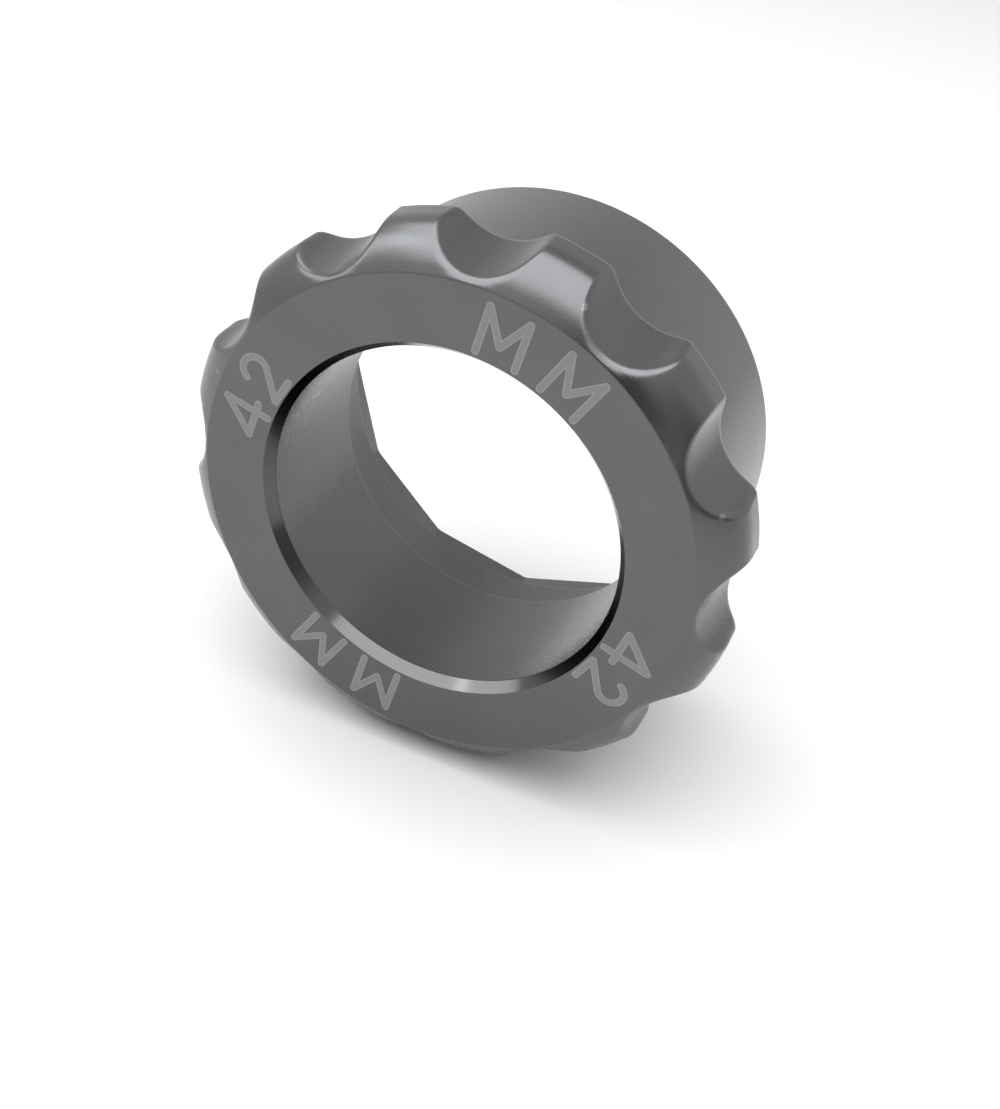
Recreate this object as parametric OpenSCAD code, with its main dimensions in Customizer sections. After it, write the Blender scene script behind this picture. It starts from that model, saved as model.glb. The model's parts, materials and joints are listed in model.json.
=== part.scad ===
// Watch case opening die: one ring turned and milled from aluminium bar.
// Lobed finger grip in front, plain skirt behind, round bore through the
// middle and a twelve-sided socket in the back that fits round a case back.
// The die's axis is the Y axis. The front face looks along -Y and the socket
// opens along +Y. The origin is on the axis, halfway along the die.

/* [Grip] */
// Diameter over the lobes of the grip
grip_d = 54.7; // [53:0.1:60]
// Length of the grip, from the front face to its back shoulder
grip_len = 7.8; // [7:0.1:10]
// Diameter of the flat front face
face_d = 47.6; // [46:0.1:49]
// Length of the rounded bevel between the front face and the lobes
bevel_len = 5.3; // [3:0.1:6]
// How early the bevel bends over towards the lobes: 1 is a plain cone
bevel_power = 2.6; // [1.5:0.1:3]
// Chamfer round the back edge of the lobes
lobe_chamfer = 0.4; // [0.1:0.1:0.8]
// Number of finger flutes round the grip
flute_count = 12; // [8:1:16]
// Radius of the cutter that mills the flutes
flute_r = 5.9; // [4:0.1:7]
// Distance from the die's axis to the floor of a flute, at the front face
flute_floor = 24.2; // [23.9:0.05:25]
// Tilt of the flutes, which get shallower towards the back, in degrees
flute_tilt = 9; // [0:0.5:10]

/* [Skirt] */
// Length of the whole die
die_len = 26.6; // [25:0.1:30]
// Diameter of the plain skirt
skirt_d = 46.6; // [46:0.1:47]
// Chamfer round the skirt's back rim
rim_chamfer = 0.3; // [0.1:0.1:0.5]

/* [Bore] */
// Diameter of the through bore
bore_d = 33.9; // [30:0.1:35]
// Diameter of the bright chamfer at the bore's mouth
mouth_d = 35.4; // [35.2:0.1:37]
// Length of the bright chamfer along the axis
mouth_len = 1.1; // [0.5:0.1:2]
// Distance from the front face to the back end of the bore
bore_end = 15.5; // [14:0.1:17]
// Diameter of the relief between the bore and the socket
relief_d = 40.3; // [36:0.1:41]

/* [Socket] */
// Number of sides of the socket
socket_sides = 12; // [10:1:16]
// Distance across the socket's flats
socket_af = 42; // [41.2:0.1:42.4]
// Depth of the socket, from the back rim
socket_depth = 3.1; // [2:0.1:5]
// Radius in the socket's corners
corner_r = 1.5; // [0.5:0.1:2]
// Turn of the socket's corners from the middles of the flutes, in degrees
socket_turn = 3.6; // [0:0.1:15]

/* [Hidden] */
$fn = 96;
overrun = 1;
bevel_steps = 8;
side_angle = 360 / socket_sides;
corner_dist = (socket_af / 2 - corner_r) / cos(side_angle / 2);
side_len = 2 * corner_dist * sin(side_angle / 2);

// A point on the rounded bevel: t runs from 0 at the front face to 1 at the lobes.
function bevel_point(t) = [face_d / 2 + (grip_d - face_d) / 2 * (1 - pow(1 - t, bevel_power)), bevel_len * t];

// Turned outline of the solid blank: radius across, distance from the front face up.
module blank_outline() {
  bevel = [for (i = [0 : bevel_steps]) bevel_point(i / bevel_steps)];
  lobe_back = [
    [grip_d / 2, grip_len - lobe_chamfer],
    [grip_d / 2 - lobe_chamfer, grip_len]
  ];
  skirt = [
    [skirt_d / 2, grip_len],
    [skirt_d / 2, die_len - rim_chamfer],
    [skirt_d / 2 - rim_chamfer, die_len]
  ];
  polygon(concat([[0, 0]], bevel, lobe_back, skirt, [[0, die_len]]));
}

// One flute: a round bar that leans outwards towards the back of the grip.
module flute() {
  translate([flute_floor, 0, 0])
    rotate([0, flute_tilt, 0])
      translate([flute_r, 0, -2 * overrun])
        cylinder(r = flute_r, h = grip_len + 2 * flute_r);
}

// Outline of the socket: a regular polygon with a round in each corner.
module socket_outline() {
  rotate(side_angle / 2)
    circle(r = corner_dist, $fn = socket_sides);
  for (i = [0 : socket_sides - 1])
    rotate(i * side_angle) {
      translate([0, -side_len / 2])
        square([socket_af / 2, side_len]);
      rotate(side_angle / 2)
        translate([corner_dist, 0])
          circle(r = corner_r);
    }
}

// The die as it is turned, with its front face on the bed and its axis upright.
module turned_die() {
  difference() {
    rotate_extrude()
      blank_outline();
    for (i = [0 : flute_count - 1])
      rotate(i * 360 / flute_count)
        flute();
    // Through bore
    translate([0, 0, -overrun])
      cylinder(d = bore_d, h = bore_end + 2 * overrun);
    // Chamfer at the bore's mouth
    cylinder(d1 = mouth_d, d2 = bore_d, h = mouth_len);
    // Relief behind the bore
    translate([0, 0, bore_end])
      cylinder(d = relief_d, h = die_len - bore_end);
    // Socket for the case back
    translate([0, 0, die_len - socket_depth])
      rotate(-socket_turn - side_angle / 2)
        linear_extrude(socket_depth + overrun)
          socket_outline();
  }
}

module die_ring() {
  color("dimgray")
    translate([0, -die_len / 2, 0])
      rotate([-90, 0, 0])
        turned_die();
}

die_ring();
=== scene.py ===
import json
import math

import bpy
import bmesh
from mathutils import Matrix, Vector

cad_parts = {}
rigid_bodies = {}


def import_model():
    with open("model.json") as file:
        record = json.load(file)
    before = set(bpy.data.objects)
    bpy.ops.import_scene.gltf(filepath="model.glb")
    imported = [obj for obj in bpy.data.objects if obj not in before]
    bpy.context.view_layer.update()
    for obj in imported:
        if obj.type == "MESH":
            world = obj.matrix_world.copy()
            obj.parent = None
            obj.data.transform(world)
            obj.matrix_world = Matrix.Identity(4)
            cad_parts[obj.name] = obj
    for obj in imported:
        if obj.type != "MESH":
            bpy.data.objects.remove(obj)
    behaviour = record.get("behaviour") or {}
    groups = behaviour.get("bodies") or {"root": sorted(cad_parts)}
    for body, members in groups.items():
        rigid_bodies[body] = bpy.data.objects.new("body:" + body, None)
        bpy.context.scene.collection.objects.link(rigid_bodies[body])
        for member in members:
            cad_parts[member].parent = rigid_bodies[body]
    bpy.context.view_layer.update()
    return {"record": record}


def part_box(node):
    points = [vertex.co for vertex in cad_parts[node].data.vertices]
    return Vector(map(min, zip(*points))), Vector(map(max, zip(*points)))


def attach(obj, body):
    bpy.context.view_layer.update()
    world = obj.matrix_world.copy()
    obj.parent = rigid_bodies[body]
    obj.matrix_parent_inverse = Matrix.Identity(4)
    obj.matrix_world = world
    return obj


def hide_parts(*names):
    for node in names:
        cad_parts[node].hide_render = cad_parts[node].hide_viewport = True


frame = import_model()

mm = 0.001
hair = 0.001
dieLow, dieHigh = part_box("die_ring")
frontY = dieLow[1]
backY = dieHigh[1]
dieLength = (backY - frontY) / mm


def mountRadius(name):
    for mount in frame["record"]["mounts"]:
        if mount["name"] == name:
            return mount["dims"]["r_mm"]
    raise KeyError(name)


camera = {
    "azimuth": 20.7,
    "elevation": 32.0,
    "roll": 7.67,
    "distance": 135.4,
    "aim": (-3.45, -2.08, -1.15),
    "lens": 45.58,
    "shift": (0.0446, -0.0757),
    "sensor": 36.0,
    "nearest": 0.005,
    "farthest": 20.0,
}

studio = {
    "backdrop": (1.0, 1.0, 1.0),
    "roomTone": 0.95,
    "floorColour": (0.61, 0.61, 0.61),
    "floorRadius": 900.0,
    "floorSides": 96,
    "floorGap": 0.02,
    "floorRoughness": 0.6,
}

# what the room shows the metal: darker patches beside the camera and high up behind
roomPatches = [
    {"azimuth": 22, "elevation": 20, "core": 8, "edge": 21, "tone": 0.05},
    {"azimuth": 66, "elevation": 4, "core": 10, "edge": 36, "tone": 0.35},
    {"azimuth": 180, "elevation": 48, "core": 8, "edge": 30, "tone": 0.75},
]

# each panel: where its middle is, its width and depth, how bright it looks, and where it faces
softLights = [
    {
        "name": "ceiling_panel",
        "middle": (-70, -105, 500),
        "size": (820, 730),
        "radiance": 2.25,
        "facing": (0, 0, -1),
    },
    {
        "name": "left_panel",
        "middle": (-400, -130, 290),
        "size": (170, 260),
        "radiance": 2.2,
        "facing": (0.77, 0.25, -0.59),
    },
]


def pointing(azimuth, elevation):
    # azimuth 0 looks out along -Y and grows towards +X
    a = math.radians(azimuth)
    e = math.radians(elevation)
    return Vector((math.sin(a) * math.cos(e), -math.cos(a) * math.cos(e), math.sin(e)))


def deselectAll():
    if bpy.context.object and bpy.context.object.mode != "OBJECT":
        bpy.ops.object.mode_set(mode="OBJECT")
    bpy.ops.object.select_all(action="DESELECT")


def makeCamera():
    back = pointing(camera["azimuth"], camera["elevation"])
    place = (Vector(camera["aim"]) + back * camera["distance"]) * mm
    bpy.ops.object.camera_add(location=place)
    cam = bpy.context.object
    cam.name = "studio_camera"
    turn = (-back).to_track_quat("-Z", "Y").to_matrix()
    roll = Matrix.Rotation(math.radians(camera["roll"]), 3, "Z")
    cam.rotation_euler = (turn @ roll).to_euler()
    cam.data.lens = camera["lens"]
    cam.data.sensor_width = camera["sensor"]
    cam.data.shift_x, cam.data.shift_y = camera["shift"]
    cam.data.clip_start = camera["nearest"]
    cam.data.clip_end = camera["farthest"]
    bpy.context.scene.camera = cam


def makeWorld():
    world = bpy.data.worlds.new("studio_room")
    bpy.context.scene.world = world
    world.use_nodes = True
    nodes = world.node_tree.nodes
    links = world.node_tree.links
    nodes.clear()
    out = nodes.new("ShaderNodeOutputWorld")
    room = nodes.new("ShaderNodeBackground")
    backdrop = nodes.new("ShaderNodeBackground")
    mix = nodes.new("ShaderNodeMixShader")
    path = nodes.new("ShaderNodeLightPath")
    coords = nodes.new("ShaderNodeTexCoord")
    tone = None
    for patch in roomPatches:
        toward = nodes.new("ShaderNodeVectorMath")
        toward.operation = "DOT_PRODUCT"
        toward.inputs[1].default_value = pointing(patch["azimuth"], patch["elevation"])
        fade = nodes.new("ShaderNodeMapRange")
        fade.interpolation_type = "SMOOTHSTEP"
        fade.inputs["From Min"].default_value = math.cos(math.radians(patch["edge"]))
        fade.inputs["From Max"].default_value = math.cos(math.radians(patch["core"]))
        fade.inputs["To Min"].default_value = 1
        fade.inputs["To Max"].default_value = patch["tone"]
        links.new(coords.outputs["Generated"], toward.inputs[0])
        links.new(toward.outputs["Value"], fade.inputs["Value"])
        if tone is None:
            tone = fade.outputs["Result"]
            continue
        both = nodes.new("ShaderNodeMath")
        both.operation = "MULTIPLY"
        links.new(tone, both.inputs[0])
        links.new(fade.outputs["Result"], both.inputs[1])
        tone = both.outputs[0]
    room.inputs["Strength"].default_value = studio["roomTone"]
    backdrop.inputs["Color"].default_value = (*studio["backdrop"], 1)
    links.new(tone, room.inputs["Color"])
    links.new(path.outputs["Is Camera Ray"], mix.inputs["Fac"])
    links.new(room.outputs[0], mix.inputs[1])
    links.new(backdrop.outputs[0], mix.inputs[2])
    links.new(mix.outputs[0], out.inputs["Surface"])


def makeLights():
    for spec in softLights:
        bpy.ops.object.light_add(type="AREA", location=Vector(spec["middle"]) * mm)
        lamp = bpy.context.object
        lamp.name = spec["name"]
        lamp.data.shape = "RECTANGLE"
        lamp.data.size = spec["size"][0] * mm
        lamp.data.size_y = spec["size"][1] * mm
        # a panel's power is four times its area for each unit of brightness
        lamp.data.energy = spec["radiance"] * 4 * lamp.data.size * lamp.data.size_y
        lamp.rotation_euler = Vector(spec["facing"]).to_track_quat("-Z", "Y").to_euler()


def makeFloor():
    deselectAll()
    radius = studio["floorRadius"] * mm
    place = (0, 0, dieLow[2] - studio["floorGap"] * mm)
    sides = studio["floorSides"]
    bpy.ops.mesh.primitive_circle_add(vertices=sides, radius=radius, fill_type="NGON", location=place)
    floor = bpy.context.object
    floor.name = "studio_floor"
    bpy.ops.object.transform_apply(location=True, rotation=True, scale=True)
    material = bpy.data.materials.new("white_sweep")
    material.use_nodes = True
    shader = material.node_tree.nodes["Principled BSDF"]
    shader.inputs["Base Color"].default_value = (*studio["floorColour"], 1)
    shader.inputs["Roughness"].default_value = studio["floorRoughness"]
    floor.data.materials.append(material)


def newMaterial(name):
    material = bpy.data.materials.new(name)
    material.use_nodes = True
    tree = material.node_tree
    shader = tree.nodes["Principled BSDF"]
    return material, tree, shader


blastedFinish = {
    "dark": (0.112, 0.115, 0.119),
    "light": (0.123, 0.126, 0.130),
    "cloud": 160.0,
    "roughness": 0.27,
    "roughnessSpread": 0.04,
    "metal": 1.0,
    "grain": 5200.0,
    "grainDepth": 0.012,
    "grainStrength": 0.25,
    # painted highlight: the grip's edges are lightened towards the pale colour below, standing in for
    # the reflection line along them; the same pale colour also marks the real scuffs in the bore
    "highlightFrom": 0.515,
    "highlightTo": 0.60,
    "edgeHighlight": 0.55,
    "highlightAndScuffColour": (0.30, 0.30, 0.30),
    "gripFrom": 24.1,
    "gripTo": 24.7,
    "scuffStretch": (1.0, 1.0, 6.0),
    "scuffTurn": (0.5, 0.4, 0.3),
    "scuffScale": 420.0,
    "scuffFrom": 0.66,
    "scuffTo": 0.68,
    "scuff": 0.9,
    "scuffedSpot": (-15.6, -7.8, 6.4),
    "scuffedReach": 5.5,
}


def blastedAnodising():
    look = blastedFinish
    material, tree, shader = newMaterial("blasted_grey_anodising")
    nodes, links = tree.nodes, tree.links
    coords = nodes.new("ShaderNodeTexCoord")
    cloud = nodes.new("ShaderNodeTexNoise")
    cloud.inputs["Scale"].default_value = look["cloud"]
    cloud.inputs["Detail"].default_value = 3
    tint = nodes.new("ShaderNodeValToRGB")
    tint.color_ramp.elements[0].position = 0.25
    tint.color_ramp.elements[0].color = (*look["dark"], 1)
    tint.color_ramp.elements[1].position = 0.75
    tint.color_ramp.elements[1].color = (*look["light"], 1)
    grain = nodes.new("ShaderNodeTexNoise")
    grain.inputs["Scale"].default_value = look["grain"]
    grain.inputs["Detail"].default_value = 2
    sheen = nodes.new("ShaderNodeMapRange")
    sheen.inputs["To Min"].default_value = look["roughness"] - look["roughnessSpread"]
    sheen.inputs["To Max"].default_value = look["roughness"] + look["roughnessSpread"]
    bump = nodes.new("ShaderNodeBump")
    bump.inputs["Strength"].default_value = look["grainStrength"]
    bump.inputs["Distance"].default_value = look["grainDepth"] * mm
    links.new(coords.outputs["Object"], cloud.inputs["Vector"])
    links.new(coords.outputs["Object"], grain.inputs["Vector"])
    links.new(cloud.outputs["Fac"], tint.inputs["Fac"])
    # painted highlight: the grip's sharp edges are made lighter than the faces beside them, standing in
    # for the bright reflection line along them
    geometry = nodes.new("ShaderNodeNewGeometry")
    edges = nodes.new("ShaderNodeMapRange")
    edges.inputs["From Min"].default_value = look["highlightFrom"]
    edges.inputs["From Max"].default_value = look["highlightTo"]
    edges.inputs["To Max"].default_value = look["edgeHighlight"]
    highlightedEdges = nodes.new("ShaderNodeMix")
    highlightedEdges.data_type = "RGBA"
    highlightedEdges.inputs["B"].default_value = (*look["highlightAndScuffColour"], 1)
    # the painted edge highlight stays on the grip: the flat face and the skirt lie nearer the axis
    split = nodes.new("ShaderNodeSeparateXYZ")
    flat = nodes.new("ShaderNodeCombineXYZ")
    reach = nodes.new("ShaderNodeVectorMath")
    reach.operation = "LENGTH"
    onGrip = nodes.new("ShaderNodeMapRange")
    onGrip.inputs["From Min"].default_value = look["gripFrom"] * mm
    onGrip.inputs["From Max"].default_value = look["gripTo"] * mm
    both = nodes.new("ShaderNodeMath")
    both.operation = "MULTIPLY"
    links.new(coords.outputs["Object"], split.inputs["Vector"])
    links.new(split.outputs["X"], flat.inputs["X"])
    links.new(split.outputs["Z"], flat.inputs["Z"])
    links.new(flat.outputs["Vector"], reach.inputs[0])
    links.new(reach.outputs["Value"], onGrip.inputs["Value"])
    links.new(geometry.outputs["Pointiness"], edges.inputs["Value"])
    links.new(edges.outputs["Result"], both.inputs[0])
    links.new(onGrip.outputs["Result"], both.inputs[1])
    links.new(both.outputs["Value"], highlightedEdges.inputs["Factor"])
    links.new(tint.outputs["Color"], highlightedEdges.inputs["A"])
    # fine scuffs where a case back has rubbed the bore
    stretch = nodes.new("ShaderNodeMapping")
    stretch.inputs["Scale"].default_value = look["scuffStretch"]
    stretch.inputs["Rotation"].default_value = look["scuffTurn"]
    scuff = nodes.new("ShaderNodeTexNoise")
    scuff.inputs["Scale"].default_value = look["scuffScale"]
    scuff.inputs["Detail"].default_value = 1
    few = nodes.new("ShaderNodeMapRange")
    few.inputs["From Min"].default_value = look["scuffFrom"]
    few.inputs["From Max"].default_value = look["scuffTo"]
    few.inputs["To Max"].default_value = look["scuff"]
    away = nodes.new("ShaderNodeVectorMath")
    away.operation = "DISTANCE"
    away.inputs[1].default_value = Vector(look["scuffedSpot"]) * mm
    nearby = nodes.new("ShaderNodeMapRange")
    nearby.inputs["From Min"].default_value = look["scuffedReach"] * mm
    nearby.inputs["From Max"].default_value = look["scuffedReach"] * mm / 2
    here = nodes.new("ShaderNodeMath")
    here.operation = "MULTIPLY"
    scuffed = nodes.new("ShaderNodeMix")
    scuffed.data_type = "RGBA"
    scuffed.inputs["B"].default_value = (*look["highlightAndScuffColour"], 1)
    links.new(coords.outputs["Object"], stretch.inputs["Vector"])
    links.new(coords.outputs["Object"], away.inputs[0])
    links.new(away.outputs["Value"], nearby.inputs["Value"])
    links.new(stretch.outputs["Vector"], scuff.inputs["Vector"])
    links.new(scuff.outputs["Fac"], few.inputs["Value"])
    links.new(few.outputs["Result"], here.inputs[0])
    links.new(nearby.outputs["Result"], here.inputs[1])
    links.new(here.outputs["Value"], scuffed.inputs["Factor"])
    links.new(highlightedEdges.outputs["Result"], scuffed.inputs["A"])
    links.new(scuffed.outputs["Result"], shader.inputs["Base Color"])
    links.new(grain.outputs["Fac"], sheen.inputs["Value"])
    links.new(sheen.outputs["Result"], shader.inputs["Roughness"])
    links.new(grain.outputs["Fac"], bump.inputs["Height"])
    links.new(bump.outputs["Normal"], shader.inputs["Normal"])
    shader.inputs["Metallic"].default_value = look["metal"]
    return material


chamferFinish = {
    "dark": (0.085, 0.085, 0.088),
    "light": (0.108, 0.108, 0.111),
    "turningScale": 6000.0,
    "turningDepth": 0.004,
    "turningStrength": 0.3,
    "smoothest": 0.11,
    "roughest": 0.19,
    "metal": 1.0,
}


def turnedChamfer():
    look = chamferFinish
    material, tree, shader = newMaterial("glossy_turned_chamfer")
    nodes, links = tree.nodes, tree.links
    coords = nodes.new("ShaderNodeTexCoord")
    split = nodes.new("ShaderNodeSeparateXYZ")
    turning = nodes.new("ShaderNodeTexNoise")
    turning.noise_dimensions = "1D"
    turning.inputs["Scale"].default_value = look["turningScale"]
    tone = nodes.new("ShaderNodeMix")
    tone.data_type = "RGBA"
    tone.inputs["A"].default_value = (*look["dark"], 1)
    tone.inputs["B"].default_value = (*look["light"], 1)
    ridges = nodes.new("ShaderNodeBump")
    ridges.inputs["Strength"].default_value = look["turningStrength"]
    ridges.inputs["Distance"].default_value = look["turningDepth"] * mm
    sheen = nodes.new("ShaderNodeMapRange")
    sheen.inputs["To Min"].default_value = look["smoothest"]
    sheen.inputs["To Max"].default_value = look["roughest"]
    links.new(coords.outputs["Object"], split.inputs["Vector"])
    links.new(split.outputs["Y"], turning.inputs["W"])
    links.new(turning.outputs["Fac"], tone.inputs["Factor"])
    links.new(turning.outputs["Fac"], ridges.inputs["Height"])
    links.new(turning.outputs["Fac"], sheen.inputs["Value"])
    links.new(tone.outputs["Result"], shader.inputs["Base Color"])
    links.new(ridges.outputs["Normal"], shader.inputs["Normal"])
    links.new(sheen.outputs["Result"], shader.inputs["Roughness"])
    shader.inputs["Metallic"].default_value = look["metal"]
    return material


def laserMark(name, colour):
    material, tree, shader = newMaterial(name)
    shader.inputs["Base Color"].default_value = (*colour, 1)
    shader.inputs["Roughness"].default_value = markings["roughness"]
    return material


body = {
    "boreRadius": mountRadius("through_bore"),
    "reliefRadius": mountRadius("relief_bore"),
    "skirtRadius": mountRadius("skirt_outside"),
    "mouthRadius": 17.7,
    "mouthLength": 1.1,
    "boreEnd": 15.5,
    "faceRadius": 23.8,
    "lobeRadius": 27.35,
    "bevelLength": 5.3,
    "bevelPower": 2.6,
    "gripLength": 7.8,
    "socketFlat": 21.0,
    "socketSides": 12,
    "socketFloor": 23.5,
    "socketTurn": 3.6,
    "socketCorner": 1.5,
    "flutes": 12,
    "fluteFloor": 24.2,
    "fluteRadius": 5.9,
    "fluteTilt": 9.0,
    "frontSoftness": 0.4,
    "backSoftness": 0.8,
    "sink": 0.02,
    "bevelSteps": 26,
    "cornerLead": 0.12,
    "socketStart": 0.2,
    "socketInner": 0.13,
    "socketOuter": 0.35,
    "columnPlan": [(0, 0.0), (14, 7.0), (27, 10.8), (31, 15.0)],
    "longestRun": 4.0,
    "mergeGap": 0.002,
    "smoothUpTo": 40,
    "chamferMargin": 0.01,
}


def bevelRadius(depth):
    t = min(max(depth / body["bevelLength"], 0), 1)
    rise = 1 - (1 - t) ** body["bevelPower"]
    return body["faceRadius"] + (body["lobeRadius"] - body["faceRadius"]) * rise


def roundedOutline(corners):
    # each corner is (radius, depth, round, steps); a round of 0 keeps the point as it is
    points = []
    count = len(corners)
    for i, (r, d, fillet, steps) in enumerate(corners):
        here = Vector((r, d))
        if fillet == 0:
            points.append(here)
            continue
        before = Vector(corners[i - 1][:2])
        after = Vector(corners[(i + 1) % count][:2])
        u = (before - here).normalized()
        v = (after - here).normalized()
        half = u.angle(v) / 2
        reach = fillet / math.tan(half)
        centre = here + (u + v).normalized() * (fillet / math.sin(half))
        start = here + u * reach
        end = here + v * reach
        a0 = math.atan2(start.y - centre.y, start.x - centre.x)
        a1 = math.atan2(end.y - centre.y, end.x - centre.x)
        sweep = (a1 - a0 + math.pi) % (2 * math.pi) - math.pi
        hold = fillet * body["cornerLead"]
        points.append(start + u * hold)
        for k in range(steps + 1):
            a = a0 + sweep * k / steps
            points.append(centre + Vector((math.cos(a), math.sin(a))) * fillet)
        points.append(end + v * hold)
    return points


def divided(points, longest):
    # adds points along straight runs that are longer than the given length
    result = []
    for i, p in enumerate(points):
        q = points[(i + 1) % len(points)]
        result.append(p)
        parts = int((q - p).length / longest)
        for k in range(1, parts + 1):
            result.append(p.lerp(q, k / (parts + 1)))
    return result


def dieOutline():
    b = body
    corners = [
        (b["boreRadius"], b["mouthLength"], 0.10, 3),
        (b["mouthRadius"], 0, 0.06, 2),
        (b["faceRadius"], 0, 0.45, 5),
    ]
    steps = b["bevelSteps"]
    for k in range(2, steps + 1):
        depth = b["bevelLength"] * k / steps
        corners.append((bevelRadius(depth), depth, 0, 0))
    corners += [
        (b["lobeRadius"], b["gripLength"], 0.9, 8),
        (b["skirtRadius"], b["gripLength"], 0.25, 4),
        (b["skirtRadius"], dieLength, 0.3, 4),
        (b["socketFlat"], dieLength, 0.15, 3),
        (b["socketFlat"], b["socketFloor"], 0.1, 3),
        (b["reliefRadius"], b["socketFloor"], 0.12, 3),
        (b["reliefRadius"], b["boreEnd"], 0.3, 3),
        (b["boreRadius"], b["boreEnd"], 0.14, 3),
    ]
    return divided(roundedOutline(corners), b["longestRun"])


def softMin(a, b, k):
    h = max(k - abs(a - b), 0) / k
    return min(a, b) - h * h * k / 4


def fluteRadiusAt(angle, depth):
    pitch = 2 * math.pi / body["flutes"]
    off = (angle + pitch / 2) % pitch - pitch / 2
    centre = body["fluteFloor"] + body["fluteRadius"] + depth * math.tan(math.radians(body["fluteTilt"]))
    inside = body["fluteRadius"] ** 2 - (centre * math.sin(off)) ** 2
    if inside <= 0:
        return centre
    return centre * math.cos(off) - math.sqrt(inside)


def socketRadiusAt(angle):
    side = 2 * math.pi / body["socketSides"]
    corner = math.radians(body["socketTurn"])
    off = (angle - corner) % side - side / 2
    flat = body["socketFlat"] / math.cos(off)
    rounding = body["socketCorner"]
    middle = (body["socketFlat"] - rounding) / math.cos(side / 2)
    toCorner = side / 2 - abs(off)
    arcEnd = math.atan2(rounding * math.sin(side / 2), middle + rounding * math.cos(side / 2))
    if toCorner > arcEnd:
        return flat
    return middle * math.cos(toCorner) + math.sqrt(rounding ** 2 - (middle * math.sin(toCorner)) ** 2)


def shapedRadius(radius, depth, angle):
    b = body
    grip = b["gripLength"]
    if depth <= grip + hair and radius > b["skirtRadius"]:
        blank = bevelRadius(depth)
        softness = b["frontSoftness"] + (b["backSoftness"] - b["frontSoftness"]) * depth / grip
        fluted = softMin(blank, fluteRadiusAt(angle, depth), softness)
        scale = (fluted - b["skirtRadius"]) / (blank - b["skirtRadius"])
        return b["skirtRadius"] + (radius - b["skirtRadius"]) * scale
    # the socket's flats and corners fade out before the relief and before the rim's rounding
    inner = b["reliefRadius"] + b["socketInner"]
    outer = b["skirtRadius"] - b["socketOuter"]
    if depth > b["socketFloor"] - b["socketStart"] and inner < radius < outer:
        swell = socketRadiusAt(angle) - b["socketFlat"]
        if radius <= b["socketFlat"]:
            return radius + swell * (radius - inner) / (b["socketFlat"] - inner)
        return radius + swell * (outer - radius) / (outer - b["socketFlat"])
    return radius


def crowdedAngle(column):
    # columns stand closest together where a flute runs out into a lobe
    plan = body["columnPlan"]
    side = 1 if column >= 0 else -1
    for (c0, a0), (c1, a1) in zip(plan, plan[1:]):
        if abs(column) <= c1 + hair:
            return side * math.radians(a0 + (a1 - a0) * (abs(column) - c0) / (c1 - c0))
    return side * math.radians(plan[-1][1])


def makeDie():
    deselectAll()
    outline = dieOutline()
    bpy.ops.mesh.primitive_plane_add(size=hair)
    die = bpy.context.object
    die.name = "die_body"
    bpy.ops.object.mode_set(mode="EDIT")
    bpy.ops.mesh.select_all(action="SELECT")
    bpy.ops.mesh.merge(type="CENTER")
    first = outline[0]
    bpy.ops.transform.translate(value=(first.x, first.y, 0))
    for i in range(1, len(outline)):
        step = outline[i] - outline[i - 1]
        bpy.ops.mesh.extrude_region_move(TRANSFORM_OT_translate={"value": (step.x, step.y, 0)})
    mesh = bmesh.from_edit_mesh(die.data)
    for v in mesh.verts:
        v.select = len(v.link_edges) == 1
    bmesh.update_edit_mesh(die.data)
    bpy.ops.mesh.edge_face_add()
    bpy.ops.mesh.select_all(action="SELECT")
    half = body["columnPlan"][-1][0]
    sector = 2 * math.pi / body["flutes"]
    bpy.ops.mesh.spin(steps=2 * half, angle=sector, center=(0, 0, 0), axis=(0, 1, 0))
    bpy.ops.object.mode_set(mode="OBJECT")
    for vertex in die.data.vertices:
        x, depth, z = vertex.co
        radius = math.hypot(x, z)
        column = round((abs(math.atan2(z, x)) / sector - 0.5) * 2 * half)
        angle = crowdedAngle(column)
        shaped = shapedRadius(radius, depth, angle)
        place = Vector((shaped * math.cos(angle), depth, shaped * math.sin(angle)))
        place.y += body["sink"] * (1 - depth / dieLength)
        vertex.co = Vector((place.x * mm, frontY + place.y * mm, place.z * mm))
    bpy.ops.object.empty_add(rotation=(0, sector, 0))
    pivot = bpy.context.object
    deselectAll()
    die.select_set(True)
    bpy.context.view_layer.objects.active = die
    around = die.modifiers.new("around", "ARRAY")
    around.count = body["flutes"]
    around.use_relative_offset = False
    around.use_object_offset = True
    around.offset_object = pivot
    bpy.ops.object.modifier_apply(modifier=around.name)
    bpy.data.objects.remove(pivot)
    bpy.ops.object.mode_set(mode="EDIT")
    bpy.ops.mesh.select_all(action="SELECT")
    bpy.ops.mesh.remove_doubles(threshold=body["mergeGap"] * mm)
    bpy.ops.mesh.normals_make_consistent(inside=False)
    bpy.ops.object.mode_set(mode="OBJECT")
    bpy.ops.object.shade_smooth_by_angle(angle=math.radians(body["smoothUpTo"]))
    die.data.materials.append(blastedAnodising())
    die.data.materials.append(turnedChamfer())
    innermost = body["boreRadius"] + body["chamferMargin"]
    outermost = body["mouthRadius"] - body["chamferMargin"]
    for face in die.data.polygons:
        radius = math.hypot(face.center.x, face.center.z) / mm
        depth = (face.center.y - frontY) / mm
        if depth < body["mouthLength"] and innermost < radius < outermost:
            face.material_index = 1
    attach(die, "root")
    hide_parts("die_ring")
    print("die body:", len(die.data.vertices), "vertices,", len(die.data.polygons), "faces")


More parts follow.
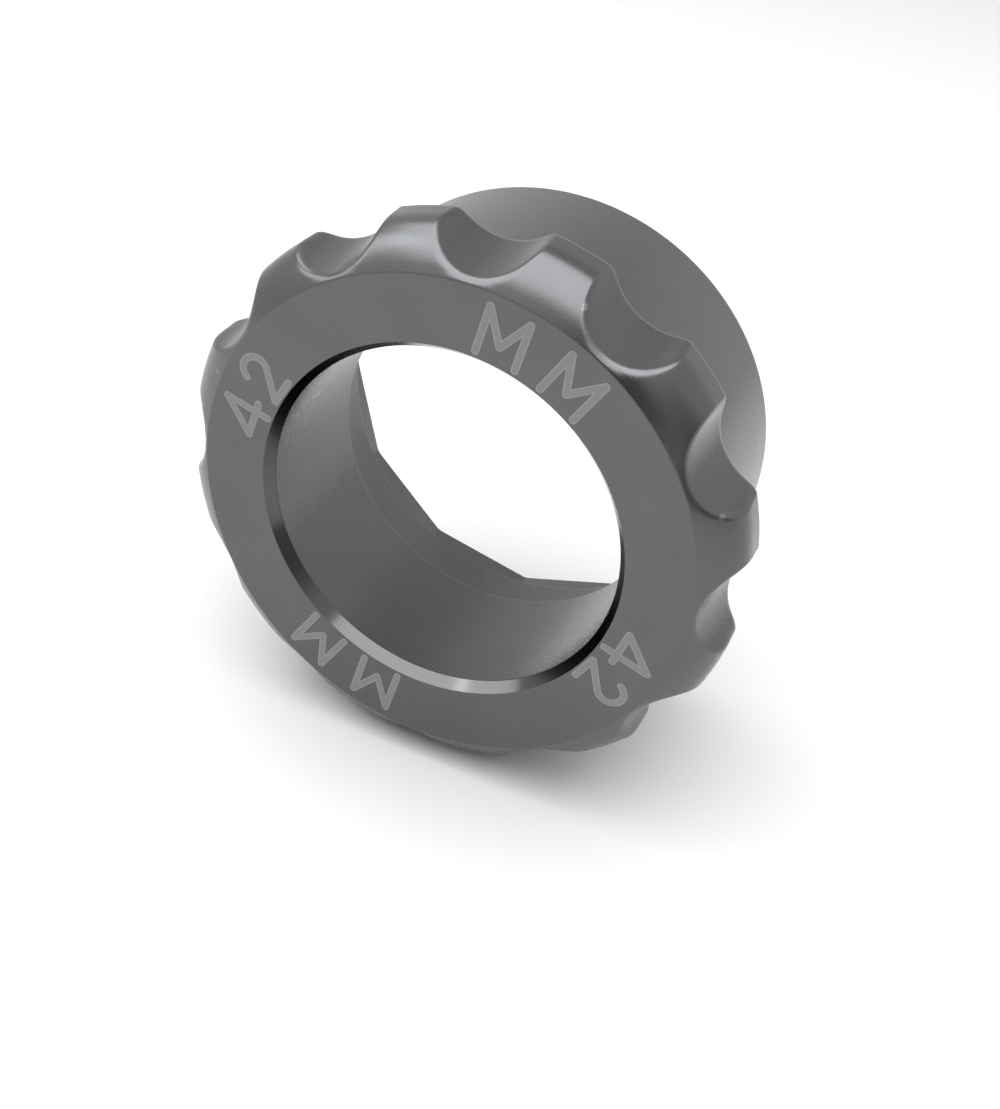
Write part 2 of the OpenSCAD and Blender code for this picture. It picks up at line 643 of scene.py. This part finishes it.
markings = {
    "groups": [
        {"name": "size_mark_left", "glyphs": [("4", 166.2), ("2", 152.7)]},
        {"name": "unit_mark_top", "glyphs": [("M", 79.5), ("M", 60.0)]},
        {"name": "size_mark_right", "glyphs": [("4", 343.65), ("2", 330.65)]},
        {"name": "unit_mark_bottom", "glyphs": [("M", 258.5), ("M", 239.0)]},
    ],
    "baseline": 18.2,
    "capHeight": 4.4,
    "stroke": 0.72,
    "rim": 0.09,
    "thickness": 0.02,
    "proud": 0.005,
    "strokeStep": 0.0008,
    "arcSteps": 18,
    "barSides": 16,
    "rimColour": (0.225, 0.228, 0.230),
    "fillColour": (0.165, 0.168, 0.170),
    "roughness": 0.6,
}


# strokes in parts of the capital height
# bars run between two points, arcs are (middle, radius, first angle, last angle)
strokes = {
    "4": {
        "bars": [
            ((0.60, 1.0), (0.0, 0.29)),
            ((0.0, 0.29), (0.80, 0.29)),
            ((0.60, 1.0), (0.60, 0.0)),
        ],
    },
    "2": {
        "bars": [((0.548, 0.54), (0.04, 0.0)), ((0.04, 0.0), (0.64, 0.0))],
        "arcs": [((0.33, 0.715), 0.285, 168, -38)],
    },
    "M": {
        "bars": [
            ((0.0, 0.0), (0.0, 1.0)),
            ((0.0, 1.0), (0.42, 0.3)),
            ((0.42, 0.3), (0.84, 1.0)),
            ((0.84, 1.0), (0.84, 0.0)),
        ],
    },
}


def strokeBar(start, end, half):
    # a flat bar with round ends
    start, end = Vector(start), Vector(end)
    deselectAll()
    sides = markings["barSides"]
    halfSide = (0, 0, math.pi / sides)
    bpy.ops.mesh.primitive_circle_add(vertices=sides, radius=half, fill_type="NGON", rotation=halfSide)
    bar = bpy.context.object
    bpy.ops.object.transform_apply(location=True, rotation=True, scale=True)
    bpy.ops.object.mode_set(mode="EDIT")
    bpy.ops.mesh.select_mode(type="VERT")
    bpy.ops.mesh.select_all(action="DESELECT")
    bpy.ops.object.mode_set(mode="OBJECT")
    for vertex in bar.data.vertices:
        vertex.select = vertex.co.x > 0
    bpy.ops.object.mode_set(mode="EDIT")
    bpy.ops.transform.translate(value=((end - start).length, 0, 0))
    bpy.ops.mesh.select_all(action="SELECT")
    bpy.ops.mesh.extrude_region_move(TRANSFORM_OT_translate={"value": (0, 0, markings["thickness"])})
    bpy.ops.object.mode_set(mode="OBJECT")
    slope = math.atan2(end.y - start.y, end.x - start.x)
    bar.data.transform(Matrix.Translation((start.x, start.y, 0)) @ Matrix.Rotation(slope, 4, "Z"))
    return bar


def strokeArc(middle, radius, fromDegrees, toDegrees, half):
    # a flat band swept round part of a circle
    deselectAll()
    bpy.ops.mesh.primitive_plane_add(size=1)
    band = bpy.context.object
    bpy.ops.object.mode_set(mode="EDIT")
    bpy.ops.mesh.select_all(action="SELECT")
    bpy.ops.transform.resize(value=(2 * half, markings["thickness"], 1))
    bpy.ops.object.mode_set(mode="OBJECT")
    upright = Matrix.Rotation(math.pi / 2, 4, "X")
    band.data.transform(Matrix.Translation((radius, 0, markings["thickness"] / 2)) @ upright)
    steps = markings["arcSteps"]
    sweep = math.radians(toDegrees - fromDegrees)
    bpy.ops.object.mode_set(mode="EDIT")
    bpy.ops.mesh.select_all(action="SELECT")
    bpy.ops.mesh.spin(steps=steps, angle=sweep, center=(0, 0, 0), axis=(0, 0, -1))
    bpy.ops.object.mode_set(mode="OBJECT")
    turn = Matrix.Rotation(math.radians(fromDegrees), 4, "Z")
    band.data.transform(Matrix.Translation((middle[0], middle[1], 0)) @ turn)
    return band


def makeGlyph(letter, half):
    capital = markings["capHeight"]
    parts = []
    for start, end in strokes[letter]["bars"]:
        parts.append(strokeBar(Vector(start) * capital, Vector(end) * capital, half))
    for middle, radius, a0, a1 in strokes[letter].get("arcs", []):
        centre = Vector(middle) * capital
        parts.append(strokeArc(centre, radius * capital, a0, a1, half))
        # a very short bar gives each end of the arc its round tip
        for end in (a0, a1):
            a = math.radians(end)
            tip = centre + Vector((math.cos(a), math.sin(a))) * radius * capital
            parts.append(strokeBar(tip, tip + Vector((hair, 0)), half))
    # each stroke lies a hair above the one before, so crossing strokes never share a plane
    for index, part in enumerate(parts):
        part.data.transform(Matrix.Translation((0, 0, index * markings["strokeStep"])))
    deselectAll()
    for part in parts:
        part.select_set(True)
    bpy.context.view_layer.objects.active = parts[0]
    bpy.ops.object.join()
    glyph = bpy.context.object
    across = [v.co.x for v in glyph.data.vertices]
    glyph.data.transform(Matrix.Translation((-(min(across) + max(across)) / 2, 0, 0)))
    return glyph


def placeGlyph(pattern, angle, lift):
    # a copy of the glyph on the front face, with its foot towards the bore
    mesh = pattern.data.copy()
    a = math.radians(angle)
    out = Vector((math.cos(a), 0, math.sin(a)))
    along = Vector((math.sin(a), 0, -math.cos(a)))
    turn = Matrix((along, out, Vector((0, -1, 0)))).transposed()
    faceY = frontY / mm + body["sink"]
    place = out * markings["baseline"] + Vector((0, faceY + markings["thickness"] - lift, 0))
    mesh.transform(Matrix.Scale(mm, 4) @ Matrix.Translation(place) @ turn.to_4x4())
    glyph = bpy.data.objects.new(pattern.name + "_copy", mesh)
    bpy.context.scene.collection.objects.link(glyph)
    return glyph


def makeMarks():
    # a pale outline, and a darker and narrower filling that stands as much higher
    layers = [
        {
            "paint": laserMark("laser_mark_rim", markings["rimColour"]),
            "half": markings["stroke"] / 2,
            "lift": markings["proud"],
        },
        {
            "paint": laserMark("laser_mark_fill", markings["fillColour"]),
            "half": markings["stroke"] / 2 - markings["rim"],
            "lift": markings["proud"] * 2,
        },
    ]
    patterns = {}
    for layer in layers:
        for letter in strokes:
            pattern = makeGlyph(letter, layer["half"])
            pattern.data.materials.append(layer["paint"])
            patterns[letter, layer["half"]] = pattern
    for group in markings["groups"]:
        parts = []
        for letter, angle in group["glyphs"]:
            for layer in layers:
                parts.append(placeGlyph(patterns[letter, layer["half"]], angle, layer["lift"]))
        deselectAll()
        for part in parts:
            part.select_set(True)
        bpy.context.view_layer.objects.active = parts[0]
        bpy.ops.object.join()
        mark = bpy.context.object
        mark.name = group["name"]
        bpy.ops.object.mode_set(mode="EDIT")
        bpy.ops.mesh.select_all(action="SELECT")
        bpy.ops.mesh.normals_make_consistent(inside=False)
        bpy.ops.object.mode_set(mode="OBJECT")
        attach(mark, "root")
    for pattern in patterns.values():
        bpy.data.objects.remove(pattern)
    print("marks:", len(markings["groups"]), "groups on the front face")


scene = bpy.context.scene
scene.view_settings.view_transform = "Standard"
makeCamera()
makeWorld()
makeLights()
makeFloor()
makeDie()
makeMarks()
